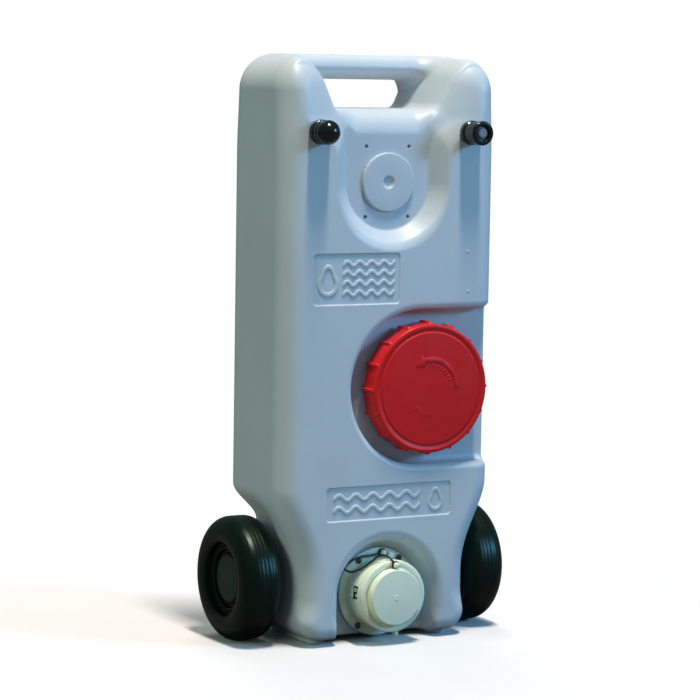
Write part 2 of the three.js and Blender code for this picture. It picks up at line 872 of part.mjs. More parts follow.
place("tank_body", tankBody(), MATERIALS.tank);

const fillCap = addGroup();
place("screw_cap", screwCap(), MATERIALS.redCap, fillCap);
place("cap_gasket", capGasket(), MATERIALS.rubber, fillCap);

const outlet = addGroup();
place("outlet_flange", outletFlange(), MATERIALS.outlet, outlet);
place("flange_gasket", flangeGasket(), MATERIALS.rubber, outlet);
screwPlaces().forEach((at, i) => {
  place(`flange_screw_${i + 1}`, flangeScrew(at), MATERIALS.steel, outlet);
});
place("drain_cap", drainCap(), MATERIALS.outlet, outlet);
place("drain_cap_seal", drainSeal(), MATERIALS.rubber, outlet);
const flangePin = tetherPin(FLANGE_PIN, FLANGE_BACK - 0.5, FLANGE_FRONT);
const capPin = tetherPin(CAP_PIN, DRAIN_CAP.ringY + 2.4, DRAIN_CAP.ringY);
place("tether_pin_flange", flangePin, MATERIALS.ivory, outlet);
place("tether_pin_cap", capPin, MATERIALS.ivory, outlet);
place("tether_cord", tetherCord(), MATERIALS.cord, outlet);

const vent = addGroup();
place("vent_fitting", fitting(-1, VENT_SEAT, 11), MATERIALS.black, vent);
place("vent_gasket", fittingGasket(-1), MATERIALS.rubber, vent);
place("vent_lock_nut", lockNut(-1), MATERIALS.black, vent);
place("vent_cap", ventCap(), MATERIALS.black, vent);
place("vent_cap_seal", ventSeal(), MATERIALS.rubber, vent);

const inlet = addGroup();
place("inlet_fitting", fitting(1, INLET.endY + 9, 11.4), MATERIALS.black, inlet);
place("inlet_gasket", fittingGasket(1), MATERIALS.rubber, inlet);
place("inlet_lock_nut", lockNut(1), MATERIALS.black, inlet);
place("inlet_ring", inletRing(), MATERIALS.black, inlet);
place("inlet_plug", inletPlug(), MATERIALS.grey, inlet);

const running = addGroup();
place("axle", axle(), MATERIALS.steel, running);
for (const [name, side] of [["left", -1], ["right", 1]]) {
  place(`${name}_wheel`, wheel(side), MATERIALS.wheel, running);
  place(`${name}_bush`, bush(side), MATERIALS.bush, running);
  place(`${name}_spacer`, spacer(side), MATERIALS.bush, running);
  place(`${name}_washer`, outerWasher(side), MATERIALS.steel, running);
  place(`${name}_retainer`, retainer(side), MATERIALS.steel, running);
  place(`${name}_hub_cap`, hubCap(side), MATERIALS.hub, running);
}

export default tank;
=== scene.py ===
"""Looks for the roll-along waste water tank: a blow-moulded tank with a hand opening, a wide red
screw cap, a bayonet drain outlet, a vent and a hose inlet, on two wheels.

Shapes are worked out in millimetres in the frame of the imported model, +Z up, with the front
facing -Y, and turned into metres when a mesh is made.
"""

import json
import math

import bmesh
import bpy
import numpy as np
from mathutils import Matrix, Vector


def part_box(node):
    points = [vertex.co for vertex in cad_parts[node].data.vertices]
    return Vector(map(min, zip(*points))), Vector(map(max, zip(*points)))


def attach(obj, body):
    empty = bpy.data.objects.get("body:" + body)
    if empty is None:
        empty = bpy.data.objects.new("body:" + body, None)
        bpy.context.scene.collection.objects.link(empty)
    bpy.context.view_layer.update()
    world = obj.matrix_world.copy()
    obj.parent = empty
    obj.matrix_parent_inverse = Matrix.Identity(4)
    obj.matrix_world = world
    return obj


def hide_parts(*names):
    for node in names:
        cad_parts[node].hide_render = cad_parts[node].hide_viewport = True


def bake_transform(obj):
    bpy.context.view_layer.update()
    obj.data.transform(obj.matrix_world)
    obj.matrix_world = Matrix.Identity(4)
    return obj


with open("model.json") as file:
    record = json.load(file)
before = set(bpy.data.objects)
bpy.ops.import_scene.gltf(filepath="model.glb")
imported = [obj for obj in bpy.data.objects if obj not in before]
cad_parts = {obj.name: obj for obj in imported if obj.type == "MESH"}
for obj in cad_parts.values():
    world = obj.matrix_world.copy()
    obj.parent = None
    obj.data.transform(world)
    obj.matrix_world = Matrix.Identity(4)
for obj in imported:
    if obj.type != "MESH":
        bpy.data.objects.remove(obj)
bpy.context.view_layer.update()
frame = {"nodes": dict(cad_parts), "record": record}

MM = 0.001


def box_mm(node):
    low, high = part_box(node)
    return np.array(low) / MM, np.array(high) / MM


TANK_LOW, TANK_HIGH = box_mm("tank_body")
HALF_WIDTH = TANK_HIGH[0]
HEIGHT = TANK_HIGH[2]
FRONT, BACK = TANK_LOW[1], TANK_HIGH[1]
HALF_DEPTH = (BACK - FRONT) / 2
MIDDLE_Y = (BACK + FRONT) / 2


def front_centre(node):
    """Where the axis of a turned piece on the front face stands, as (x, z)."""
    low, high = box_mm(node)
    return (low[0] + high[0]) / 2, (low[2] + high[2]) / 2


def ahead(node):
    """How far a node reaches in front of the tank's front face: its back and its front."""
    low, high = box_mm(node)
    return FRONT - high[1], FRONT - low[1]


FILL = front_centre("cap_gasket")
DRAIN = front_centre("drain_cap_seal")
VENT = front_centre("vent_fitting")
INLET = front_centre("inlet_fitting")

# ---------------------------------------------------------------- the tank's shape

UNDERSIDE = 7
TOP_CORNER = 44  # rounding of the top corners, seen from the front
BOTTOM_CORNER = 28
WAIST_HALF = 117  # half the width between the wheels
FIELD = {
    "z": 566,
    "radius": 58.6,
    "depth": 19,
    "slant": 0.98,  # sideways run of the walls for each mm towards the front face
    "flare_from": 623,
    "flare": 0.458,  # sideways run for each mm upwards, in the hand opening
    "draft": 0.045,  # how the hand opening narrows towards the back
}
SHELF = {"z": 655, "lip": 32, "end_lip": 14}
BAR = {"y": 30, "half_depth": 20, "height": 30, "lean": 0.8, "fillet": 20}
RECESS = {"x": 42.5, "z": 314.4, "radius": 96, "depth": 26}
ARCH = {"radius": 60, "depth": 30, "lean": 10}
FOOT = {"x": 85, "half_width": 12, "half_straight": 44}
PANELS = [(-110.8, 9.9, 418.4, 481.0), (-88.1, 88.1, 154.0, 196.7)]  # left, right, bottom, top
PANEL_DEPTH = 1.6
MARK_HEIGHT = 1.2
BLIND_HOLES = [(side * 29.8, z) for side in (-1, 1) for z in (609.5, 523.9)]
BLIND_HOLE_DEPTH = 10
KNOBS = [(104.8, 480.7), (106, 431.5)]  # two small bumps on the front face
KNOB_HEIGHT = 0.9
DISC = {"radius": 35.6, "height": 4, "dimple": 8.4}


def smooth(value, start, end):
    """A soft step from 0 to 1."""
    share = np.clip((value - start) / (end - start), 0, 1)
    return share * share * (3 - 2 * share)


def mix(a, b, share):
    return a + (b - a) * share


def meet(a, b, radius):
    """The distance to what two solids share, its edge rounded to a radius."""
    beyond = np.hypot(np.maximum(a + radius, 0), np.maximum(b + radius, 0))
    return np.minimum(np.maximum(a, b), -radius) + beyond


def fuse(a, b, radius):
    """The distance to two solids together, with a fillet between them."""
    return -meet(-a, -b, radius)


def flank(y, z):
    """Half the tank's width: it draws in towards the wheels, later and sharper at the back."""
    at_front = smooth(np.clip((z - 77) / 118, 0, 1) ** 1.25, 0, 1)
    at_back = smooth(z, 142, 190)
    return mix(WAIST_HALF, HALF_WIDTH, mix(at_front, at_back, smooth(y, -40, 20)))


def outer_distance(x, y, z):
    """The rounded box of the tank, with its waist."""
    side = np.abs(x) - flank(y, z)
    upright = meet(meet(side, z - HEIGHT, TOP_CORNER), UNDERSIDE - z, BOTTOM_CORNER)
    # The front and back edges are rounded to 16 at the floor, 30 along the sides, 36 at the top.
    edge = 16 + 14 * smooth(z, 15, 60) + 6 * smooth(z, 600, 690)
    return meet(upright, np.abs(y) - HALF_DEPTH, edge)


def field_distance(x, y, z):
    """The sunken field, whose walls slant out to the front face, and which widens upwards into
    the hand opening. The factors 0.91 and 0.69 allow for the walls' slant."""
    before = FIELD["depth"] - HALF_DEPTH - y
    slanted = FIELD["slant"] * np.maximum(before, 0)
    past = z - FIELD["flare_from"]
    reach = slanted + FIELD["radius"] + FIELD["flare"] * (past + np.sqrt(past * past + 80)) / 2
    reach = reach - FIELD["draft"] * np.maximum(-before, 0)
    wall = (np.abs(x) - reach) * mix(1, 0.91, smooth(past, -15, 15))
    round_end = np.hypot(x, z - FIELD["z"]) - FIELD["radius"] - slanted
    return np.where(z < FIELD["z"], round_end, wall) * mix(1, 0.69, smooth(before, -2, 2))


def shelf_distance(x, y, z):
    """What stands behind the field: its floor, and the rounded lip under the hand opening."""
    lip = mix(SHELF["lip"], SHELF["end_lip"], smooth(np.abs(x), 40, 66))
    return meet(FIELD["depth"] - HALF_DEPTH - y, z - SHELF["z"], lip)


def bar_distance(y, z):
    """The handle, whose lower half leans backwards."""
    half = BAR["height"] / 2
    run = BAR["half_depth"] - half
    middle = BAR["y"] + BAR["lean"] * np.maximum(HEIGHT - half - z, 0) ** 2 / half
    return np.hypot(np.maximum(np.abs(y - middle) - run, 0), z - HEIGHT + half) - half


def recess_distance(x, y, z):
    """The recess round the screw cap, which runs out through the right flank."""
    beside, above = np.minimum(x - RECESS["x"], 0), z - RECESS["z"]
    floor = y + HALF_DEPTH - RECESS["depth"]
    return meet(np.hypot(beside, above) - RECESS["radius"], floor, 6)


def arch_distance(x, y, z):
    """The arch round the drain outlet, open downwards."""
    floor = y + HALF_DEPTH - ARCH["depth"]
    reach = ARCH["radius"] - floor * ARCH["lean"] / ARCH["depth"]
    round_wall = np.hypot(x, np.maximum(z - DRAIN[1], 0)) - reach
    return meet(round_wall * 0.95, floor, 7)


def foot_distance(x, y, z):
    """The two runner feet."""
    runner = np.hypot(np.abs(x) - FOOT["x"], np.maximum(np.abs(y) - FOOT["half_straight"], 0))
    return meet(meet(runner - FOOT["half_width"], -z, 4), z - 30, 4)


def inside_panel(x, z, panel):
    """How far a point is inside a panel's rounded outline."""
    left, right, bottom, top = panel
    corner = 5
    across = np.abs(x - (left + right) / 2) - (right - left) / 2 + corner
    up = np.abs(z - (bottom + top) / 2) - (top - bottom) / 2 + corner
    outside = np.hypot(np.maximum(across, 0), np.maximum(up, 0))
    return corner - outside - np.minimum(np.maximum(across, up), 0)


def stroke(distance, half_width):
    return 1 - smooth(np.abs(distance), half_width - 0.6, half_width + 0.6)


def wave(x, z, left, right, level, height, length, half_width):
    """A moulded wave line, as 0 to 1."""
    phase = 2 * math.pi * (x - left) / length
    slope = height * 2 * math.pi / length * np.cos(phase)
    across = (z - level - height * np.sin(phase)) / np.sqrt(1 + slope * slope)
    past_end = np.maximum(np.maximum(left - x, x - right), 0)
    return stroke(np.hypot(across, past_end), half_width)


def drop(x, z, middle, level, radius, half_width):
    """The outline of a water drop with its point up, as 0 to 1."""
    angle = np.arctan2(z - level, x - middle)
    reach = radius * (1 + 0.8 * np.maximum(np.sin(angle), 0) ** 9)
    return stroke((np.hypot(x - middle, z - level) - reach) * 0.9, half_width)


def marks(x, z):
    """Generic water marks that stand up from the two panels, as 0 to 1."""
    upper, lower = PANELS
    strokes = [drop(x, z, upper[0] + 21, upper[2] + 25, 12, 2.2)]
    for level in (14, 26, 38, 50):
        strokes.append(wave(x, z, upper[0] + 43, upper[1] - 9, upper[2] + level, 2.6, 17, 1.9))
    for level in (14, 29):
        strokes.append(wave(x, z, lower[0] + 12, lower[1] - 46, lower[2] + level, 3.4, 23.6, 2.0))
    strokes.append(drop(x, z, lower[1] - 22, lower[2] + 17, 9, 1.8))
    return np.maximum.reduce(strokes)


def front_relief(x, z):
    """How deep the shallow details of the front face lie below it."""
    panel = np.maximum.reduce([smooth(inside_panel(x, z, p), 0, 1.2) for p in PANELS])
    depth = panel * (PANEL_DEPTH - MARK_HEIGHT * marks(x, z))
    for knob_x, knob_z in KNOBS:
        depth = depth - KNOB_HEIGHT * (1 - smooth(np.hypot(x - knob_x, z - knob_z), 0.6, 2.6))
    return depth


def field_relief(x, z):
    """How deep the four blind holes go into the floor of the sunken field."""
    away = np.minimum.reduce([np.hypot(x - hole_x, z - hole_z) for hole_x, hole_z in BLIND_HOLES])
    return BLIND_HOLE_DEPTH * (1 - smooth(away, 1.5, 2.3))


def tank_distance(x, y, z):
    """The distance to the tank's surface, negative inside, with y from its mid-depth."""
    outer = outer_distance(x, y, z)
    # The roundings grow with height: crisp round the field, soft round the hand opening.
    fillet = mix(1.2, 8, smooth(z, 610, 640))
    behind = fuse(-field_distance(x, y, z), shelf_distance(x, y, z), fillet)
    crest = mix(mix(5, 2.5, smooth(z, 500, 540)), 26, smooth(z, 600, 650))
    crest = mix(crest, mix(28, 12, smooth(z, 680, 710)), smooth(y, -30, 30))
    body = fuse(meet(outer, behind, crest), bar_distance(y, z), BAR["fillet"])
    body = np.maximum(body, outer)
    body = meet(body, -recess_distance(x, y, z), 8)
    body = meet(body, -arch_distance(x, y, z), mix(3, 10, smooth(z, 8, 40)))
    return fuse(body, foot_distance(x, y, z), 4)


def detailed_distance(x, y, z):
    """The same with the shallow relief of the front face and of the sunken field."""
    on_front = 1 - smooth(y, -HALF_DEPTH + 4, -HALF_DEPTH + 7)
    floor = FIELD["depth"] - HALF_DEPTH
    on_floor = 1 - smooth(np.abs(y - floor), 7, 10)
    relief = on_front * front_relief(x, z) + on_floor * field_relief(x, z)
    return tank_distance(x, y, z) + relief


# ---------------------------------------------------------------- meshes from distances


def surface_net(distance, low, high, cell):
    """Quads round the zero surface of a distance: one vertex in each grid cell it crosses."""
    low = np.array(low, float)
    counts = np.ceil((np.array(high) - low) / cell).astype(int) + 1
    axes = [low[i] + cell * np.arange(counts[i]) for i in range(3)]
    values = distance(*np.meshgrid(*axes, indexing="ij", sparse=True))
    cells = counts - 1
    strides = np.array([cells[1] * cells[2], cells[2], 1])
    total = np.zeros((np.prod(cells), 3))
    hits = np.zeros(np.prod(cells))
    rings = []
    for axis in range(3):
        u, v = (axis + 1) % 3, (axis + 2) % 3
        near = np.delete(values, -1, axis=axis)
        far = np.delete(values, 0, axis=axis)
        at = np.argwhere((near < 0) != (far < 0))
        start, end = near[tuple(at.T)], far[tuple(at.T)]
        crossing = at.astype(float)
        crossing[:, axis] += start / (start - end)
        corners = []
        for step_u, step_v in ((-1, -1), (0, -1), (0, 0), (-1, 0)):
            beside = at.copy()
            beside[:, u] += step_u
            beside[:, v] += step_v
            corners.append(beside @ strides)
            for i in range(3):
                total[:, i] += np.bincount(corners[-1], crossing[:, i], len(total))
            hits += np.bincount(corners[-1], minlength=len(hits))
        quads = np.stack(corners, axis=1)
        inwards = start > 0
        quads[inwards] = quads[inwards, ::-1]
        rings.append(quads)
    used = np.flatnonzero(hits)
    number = np.zeros(len(hits), int)
    number[used] = np.arange(len(used))
    points = low + cell * total[used] / hits[used, None]
    return points, number[np.concatenate(rings)]


def slope_of(distance, points, step=0.2):
    """The gradient of a distance at points, by central differences."""
    sides = []
    for axis in range(3):
        shift = np.zeros(3)
        shift[axis] = step
        ahead_of = distance(*(points + shift).T)
        behind = distance(*(points - shift).T)
        sides.append((ahead_of - behind) / (2 * step))
    return np.stack(sides, axis=1)


def settle(distance, points, rounds):
    """Moves points onto the zero surface."""
    for _ in range(rounds):
        slope = slope_of(distance, points)
        steepness = np.maximum((slope * slope).sum(1), 0.05)
        step = (distance(*points.T) / steepness)[:, None] * slope
        points = points - np.clip(step, -1, 1)
    return points


def even_out(points, quads):
    """Moves each vertex to the middle of its neighbours."""
    total = np.zeros_like(points)
    count = np.zeros(len(points))
    for i in range(4):
        here, beside = quads[:, i], quads[:, (i + 1) % 4]
        for a, b in ((here, beside), (beside, here)):
            for k in range(3):
                total[:, k] += np.bincount(a, points[b, k], len(points))
            count += np.bincount(a, minlength=len(points))
    return total / count[:, None]


def placed(name, data):
    """A new object in the scene, from a mesh, a lamp or a camera."""
    thing = bpy.data.objects.new(name, data)
    bpy.context.collection.objects.link(thing)
    return thing


def mesh_object(name, points, faces):
    """A new object from points in millimetres."""
    mesh = bpy.data.meshes.new(name)
    mesh.from_pydata(np.asarray(points, float) * MM, [], faces)
    return placed(name, mesh)


def split(piece, wanted, cuts):
    """Splits the faces that are wanted, given their middle and their normal."""
    work = bmesh.new()
    work.from_mesh(piece.data)
    edges = set()
    for face in work.faces:
        if wanted(face.calc_center_median() / MM, face.normal):
            edges.update(face.edges)
    bmesh.ops.subdivide_edges(work, edges=list(edges), cuts=cuts, use_grid_fill=True)
    work.to_mesh(piece.data)
    work.free()


def refine(piece, zones, cuts):
    """Splits the flat faces in front of the tank's mid-depth whose middle is in a zone."""
    def wanted(middle, normal):
        if middle.y > -HALF_DEPTH + FIELD["depth"] + 3 or normal.y > -0.9:
            return False
        return any(left < middle.x < right and bottom < middle.z < top
                   for left, right, bottom, top in zones)

    split(piece, wanted, cuts)


def refine_field_edges(piece, near, cuts):
    """Splits the faces along the two edges of the sunken field's slanted wall."""
    slant_width = FIELD["slant"] * FIELD["depth"]

    def wanted(middle, normal):
        if middle.y > -HALF_DEPTH + FIELD["depth"] + 4 or middle.z > FIELD["flare_from"] + 12:
            return False
        below = min(middle.z - FIELD["z"], 0)
        out = math.hypot(middle.x, below) - FIELD["radius"]
        return abs(out) < near or abs(out - slant_width) < near

    split(piece, wanted, cuts)


def points_of(mesh):
    flat = np.empty(len(mesh.vertices) * 3)
    mesh.vertices.foreach_get("co", flat)
    return flat.reshape(-1, 3) / MM


def round_about(places, margin):
    """Square zones round places on the front."""
    return [(x - margin, x + margin, z - margin, z + margin) for x, z in places]


def tank_shell():
    """The tank's outside: a net over the whole of it, made finer where it has details."""
    pad, cell = 3, 3.45  # room round the tank, and the net's grid
    low = [-HALF_WIDTH - pad, -HALF_DEPTH - pad, -pad]
    high = [HALF_WIDTH + pad, HALF_DEPTH + pad, HEIGHT + pad]
    points, quads = surface_net(tank_distance, low, high, cell)
    for _ in range(3):
        points = settle(tank_distance, points, 2)
        points = mix(points, even_out(points, quads), 0.5)
    points = settle(tank_distance, points, 3)
    piece = mesh_object("tank_shell", points, quads.tolist())
    margin = 3.5
    refine(piece, [(left - margin, right + margin, bottom - margin, top + margin)
                   for left, right, bottom, top in PANELS], 3)
    refine(piece, round_about(BLIND_HOLES, 4.5), 6)
    refine(piece, round_about(KNOBS, 4.5), 3)
    refine_field_edges(piece, 4, 2)
    mesh = piece.data
    points = settle(tank_distance, points_of(mesh), 2)
    sunk = detailed_distance(*points.T) - tank_distance(*points.T)
    points[:, 1] += sunk
    slope = slope_of(detailed_distance, points, 0.25)
    normals = slope / np.linalg.norm(slope, axis=1, keepdims=True)
    mesh.vertices.foreach_set("co", ((points + [0, MIDDLE_Y, 0]) * MM).ravel())
    mesh.polygons.foreach_set("use_smooth", [True] * len(mesh.polygons))
    mesh.normals_split_custom_set_from_vertices(normals.tolist())
    mesh.update()
    return piece


# ---------------------------------------------------------------- turned pieces

FORWARD = (Vector((1, 0, 0)), Vector((0, 0, 1)), Vector((0, -1, 0)))


def sideways(side):
    return Vector((0, side, 0)), Vector((0, 0, 1)), Vector((side, 0, 0))


def rounded(corners):
    """A profile of (radius, height) points from (radius, height, rounding) corners."""
    points = []
    for i, corner in enumerate(corners):
        here = np.array(corner[:2], float)
        rounding = corner[2] if len(corner) > 2 else 0
        if not rounding or i in (0, len(corners) - 1):
            points.append(here)
            continue
        before = np.array(corners[i - 1][:2], float) - here
        after = np.array(corners[i + 1][:2], float) - here
        before_length, after_length = np.linalg.norm(before), np.linalg.norm(after)
        before, after = before / before_length, after / after_length
        half = math.acos(np.clip(before @ after, -1, 1)) / 2
        run = min(rounding / math.tan(half), 0.49 * before_length, 0.49 * after_length)
        centre = here + (before + after) / np.linalg.norm(before + after) * run / math.cos(half)
        spokes = here + before * run - centre, here + after * run - centre
        radius = np.linalg.norm(spokes[0])
        for share in np.linspace(0, 1, 6):
            spoke = mix(spokes[0], spokes[1], share)
            points.append(centre + spoke / np.linalg.norm(spoke) * radius)
    return points


def smooth_shaded(piece, angle=28):
    mesh = piece.data
    mesh.polygons.foreach_set("use_smooth", [True] * len(mesh.polygons))
    mesh.set_sharp_from_angle(angle=math.radians(angle))
    mesh.update()
    return piece


def turned(name, profile, origin, axes, angles=96, swell=None):
    """A surface turned about an axis. The profile ends on the axis or closes on itself. `swell`
    gives an extra radius for an angle and a profile point."""
    across, up, along = (np.array(axis) for axis in axes)
    if np.isscalar(angles):
        angles = np.linspace(0, 2 * math.pi, angles, endpoint=False)
    closed = profile[0][0] > 1e-6
    rings, points = [], []
    for radius, height in profile:
        if radius < 1e-6:
            rings.append([len(points)])
            points.append(origin + along * height)
            continue
        rings.append(list(range(len(points), len(points) + len(angles))))
        for angle in angles:
            reach = radius + (swell(angle, radius, height) if swell else 0)
            spoke = across * math.cos(angle) + up * math.sin(angle)
            points.append(origin + along * height + spoke * reach)
    faces = []
    pairs = list(zip(rings, rings[1:] + rings[:1]))
    for lower, upper in pairs if closed else pairs[:-1]:
        for i in range(len(angles)):
            j = (i + 1) % len(angles)
            corners = [lower[i % len(lower)], lower[j % len(lower)]]
            corners += [upper[j % len(upper)], upper[i % len(upper)]]
            faces.append(list(dict.fromkeys(corners)))
    return smooth_shaded(mesh_object(name, points, faces))


def on_front(name, corners, centre, angles=96, swell=None):
    """A turned piece on the front: heights are how far it stands in front of the tank's face."""
    origin = np.array([centre[0], FRONT, centre[1]])
    return turned(name, rounded(corners), origin, FORWARD, angles, swell)


def prism(name, outline, base, height, centre, bevel):
    """A raised flat mark on the front, from an outline of (x, z) points round a centre."""
    work = bmesh.new()
    origin = Vector((centre[0], FRONT - base, centre[1]))
    corners = [work.verts.new((origin + Vector((x, 0, z))) * MM) for x, z in outline]
    face = work.faces.new(corners)
    grown = bmesh.ops.extrude_face_region(work, geom=[face])["geom"]
    raised = [item for item in grown if isinstance(item, bmesh.types.BMVert)]
    bmesh.ops.translate(work, verts=raised, vec=(0, -height * MM, 0))
    rim = [edge for edge in work.edges if all(vertex in raised for vertex in edge.verts)]
    bmesh.ops.bevel(work, geom=rim, offset=bevel * MM, segments=3, affect="EDGES", profile=0.5)
    bmesh.ops.recalc_face_normals(work, faces=work.faces)
    mesh = bpy.data.meshes.new(name)
    work.to_mesh(mesh)
    work.free()
    return smooth_shaded(placed(name, mesh), 50)


def arc(radius, start, end, steps):
    """Points on a circle round the origin, between two angles in degrees."""
    turns = np.radians(np.linspace(start, end, steps + 1))
    return [(radius * math.cos(turn), radius * math.sin(turn)) for turn in turns]


def sector(outer, inner, start, end, steps):
    """A closed outline between two circles and between two angles in degrees."""
    return arc(outer, start, end, steps) + arc(inner, end, start, steps)


def tube(name, points, radius):
    """A round cord along a smooth curve through points in millimetres, as a mesh."""
    curve = bpy.data.curves.new(name, "CURVE")
    curve.dimensions = "3D"
    curve.bevel_depth = radius * MM
    curve.bevel_resolution = 3
    curve.resolution_u = 14
    curve.use_fill_caps = True
    spline = curve.splines.new("BEZIER")
    spline.bezier_points.add(len(points) - 1)
    for handle, point in zip(spline.bezier_points, points):
        handle.co = Vector(point) * MM
        handle.handle_left_type = handle.handle_right_type = "AUTO"
    drawn = bpy.data.objects.new(name, curve)
    mesh = bpy.data.meshes.new_from_object(drawn)
    bpy.data.objects.remove(drawn)
    return smooth_shaded(placed(name, mesh), 60)


# ---------------------------------------------------------------- materials


class Nodes:
    """A material's node tree, with short ways to add and join its nodes."""

    def __init__(self, name):
        self.material = bpy.data.materials.new(name)
        self.material.use_nodes = True
        self.tree = self.material.node_tree
        self.shader = self.tree.nodes["Principled BSDF"]
        self.place = self.add("ShaderNodeTexCoord").outputs["Object"]

    def add(self, kind, **settings):
        """A new node, with settings that are its properties or its inputs."""
        node = self.tree.nodes.new(kind)
        for key, value in settings.items():
            if hasattr(node, key):
                setattr(node, key, value)
            else:
                node.inputs[key].default_value = value
        return node

    def join(self, source, target):
        self.tree.links.new(source, target)

    def noise(self, scale, detail=2.0, roughness=0.5, stretch=None):
        """A noise pattern from 0 to 1, with its scale in features per metre."""
        node = self.add("ShaderNodeTexNoise", Scale=scale, Detail=detail, Roughness=roughness)
        place = self.place
        if stretch:
            mapping = self.add("ShaderNodeMapping", Scale=stretch)
            self.join(place, mapping.inputs["Vector"])
            place = mapping.outputs["Vector"]
        self.join(place, node.inputs["Vector"])
        return node.outputs["Fac"]

    def ranged(self, value, low, high, start=0.3, end=0.7):
        """Takes a value from between start and end to between low and high."""
        node = self.add("ShaderNodeMapRange")
        limits = {"From Min": start, "From Max": end, "To Min": low, "To Max": high}
        for key, limit in limits.items():
            node.inputs[key].default_value = limit
        self.join(value, node.inputs["Value"])
        return node.outputs["Result"]

    def blended(self, share, first, second):
        """A colour between two colours or colour sockets."""
        node = self.add("ShaderNodeMix", data_type="RGBA")
        self.join(share, node.inputs["Factor"])
        for socket, colour in ((node.inputs[6], first), (node.inputs[7], second)):
            if isinstance(colour, tuple):
                socket.default_value = (*colour, 1)
            else:
                self.join(colour, socket)
        return node.outputs[2]

    def math(self, operation, first, second):
        node = self.add("ShaderNodeMath", operation=operation)
        for socket, value in zip(node.inputs, (first, second)):
            if isinstance(value, (int, float)):
                socket.default_value = value
            else:
                self.join(value, socket)
        return node.outputs[0]

    def bump(self, height, depth, after=None):
        """Adds a bump `depth` metres high to the surface."""
        node = self.add("ShaderNodeBump", Strength=1.0, Distance=depth)
        self.join(height, node.inputs["Height"])
        if after:
            self.join(after, node.inputs["Normal"])
        return node.outputs["Normal"]


def linear(red, green, blue):
    """A colour from the screen's 0 to 255 values to the linear values that shaders take."""
    shares = [value / 255 for value in (red, green, blue)]
    return tuple(s / 12.92 if s <= 0.04045 else ((s + 0.055) / 1.055) ** 2.4 for s in shares)


def darker(colour, share):
    return tuple(value * share for value in colour)


def moulded(
    name, colour, roughness, grain_depth=2e-5, drift=0.94, scuffs=0.0, shine=0.5, sheen=(1, 1, 1)
):
    """Moulded plastic: a slow drift of colour, a fine grain, patchy gloss and pale scuffs."""
    nodes = Nodes(name)
    drifting = nodes.ranged(nodes.noise(9, 3), 0, 1)
    tint = nodes.blended(drifting, colour, darker(colour, drift))
    speckle = nodes.ranged(nodes.noise(2600, 1), 0, 0.35, 0.55, 0.75)
    tint = nodes.blended(speckle, tint, darker(colour, 0.9))
    gloss = nodes.ranged(nodes.noise(38, 4, 0.6), roughness - 0.05, roughness + 0.06)
    if scuffs:
        scratches = nodes.noise(60, 6, 0.7, stretch=(1, 1, 7))
        worn = nodes.ranged(scratches, 0, scuffs, 0.6, 0.75)
        pale = tuple(mix(value, 0.6, 0.35) for value in colour)
        tint = nodes.blended(worn, tint, pale)
        gloss = nodes.math("ADD", gloss, nodes.math("MULTIPLY", worn, 0.3))
    fine = nodes.bump(nodes.noise(900, 2), grain_depth)
    wavy = nodes.bump(nodes.noise(26, 2), grain_depth * 6, fine)
    nodes.join(tint, nodes.shader.inputs["Base Color"])
    nodes.join(gloss, nodes.shader.inputs["Roughness"])
    nodes.join(wavy, nodes.shader.inputs["Normal"])
    nodes.shader.inputs["Specular IOR Level"].default_value = shine
    nodes.shader.inputs["Specular Tint"].default_value = (*sheen, 1)
    return nodes


def metal(name, colour, roughness):
    """Plated steel with a fine grain and dull patches."""
    nodes = Nodes(name)
    patches = nodes.ranged(nodes.noise(220, 4, 0.6), 0, 1)
    tint = nodes.blended(patches, colour, darker(colour, 0.72))
    nodes.join(tint, nodes.shader.inputs["Base Color"])
    gloss = nodes.ranged(nodes.noise(700, 3), roughness - 0.08, roughness + 0.12)
    nodes.join(gloss, nodes.shader.inputs["Roughness"])
    nodes.join(nodes.bump(nodes.noise(1800, 2), 1e-5), nodes.shader.inputs["Normal"])
    nodes.shader.inputs["Metallic"].default_value = 1
    return nodes


TANK_COLOUR = (0.58, 0.65, 0.70)
OUTLET_COLOUR = (0.86, 0.92, 0.74)
LOOKS = {
    "tank": moulded("tank_plastic", TANK_COLOUR, 0.42, grain_depth=2.5e-5, scuffs=0.05),
    "red_cap": moulded(
        "red_plastic", (0.74, 0.012, 0.012), 0.36, grain_depth=1.5e-5, drift=0.9, shine=0.35
    ),
    "outlet": moulded("outlet_plastic", OUTLET_COLOUR, 0.45, scuffs=0.08),
    "black": moulded("black_plastic", (0.006, 0.009, 0.009), 0.2, grain_depth=6e-6, drift=0.8),
    "wheel": moulded(
        "wheel_plastic", (0.002, 0.006, 0.004), 0.32, grain_depth=8e-6, drift=0.8, shine=0.3,
        sheen=(0.75, 1, 0.8),
    ),
    "hub": moulded("hub_plastic", (0.02, 0.036, 0.03), 0.5, drift=0.9, shine=0.3),
    "rubber": moulded("seal_rubber", linear(34, 34, 34), 0.7, drift=0.8),
    "cord": moulded("cord_rubber", (0.008, 0.009, 0.01), 0.4, drift=0.8),
    "ivory": moulded("ivory_plastic", (0.92, 0.92, 0.8), 0.3),
    "grey": moulded("grey_plastic", linear(116, 134, 142), 0.4),
    "steel": metal("plated_steel", (0.62, 0.63, 0.65), 0.32),
    "bush": moulded("bush_plastic", linear(214, 212, 203), 0.45),
}
SCREW_STEEL = metal("dark_screw_steel", (0.16, 0.165, 0.17), 0.3)
SLOT_OF = {part["node"]: part["material_slot"] for part in frame["record"]["subparts"]}
BODY_OF = {
    node: body for body, nodes in frame["record"]["behaviour"]["bodies"].items() for node in nodes
}


def dress(piece, slot, look=None):
    piece.data.materials.clear()
    piece.data.materials.append((look or LOOKS[slot]).material)
    return piece


def stands_for(piece, node, look=None):
    """The piece takes the place, the body and the finish of a CAD node."""
    dress(piece, SLOT_OF[node], look)
    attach(piece, BODY_OF[node])
    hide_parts(node)
    return piece


